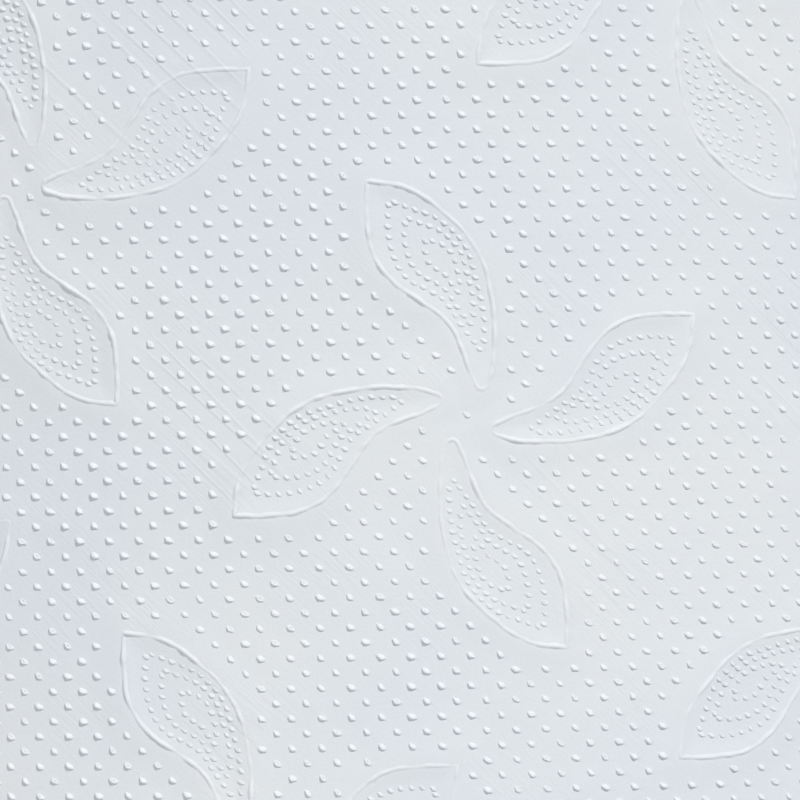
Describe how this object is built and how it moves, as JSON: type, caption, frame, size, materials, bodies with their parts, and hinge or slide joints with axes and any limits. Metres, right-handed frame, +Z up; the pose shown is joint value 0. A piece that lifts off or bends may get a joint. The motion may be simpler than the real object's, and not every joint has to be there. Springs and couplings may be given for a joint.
{
  "type": "paper towel roll",
  "caption": "Roll of embossed white paper towel wound on an open cardboard core, standing on its end.",
  "frame": {"origin": "on the roll's axis at the bottom end, on the surface that it stands on", "axes": "+Z up the roll's axis; -Y towards the viewer, the side of the outer turn that the picture shows"},
  "size_m": [0.1456, 0.146, 0.279],
  "materials": {
    "embossed_paper": "soft matt white tissue, embossed with pin dots and leaf whorls",
    "kraft_board": "matt brown kraft board, wound from strips in a spiral"
  },
  "bodies": {
    "root": {"wound_paper": "embossed_paper", "cardboard_core": "kraft_board"}
  },
  "joints": []
}
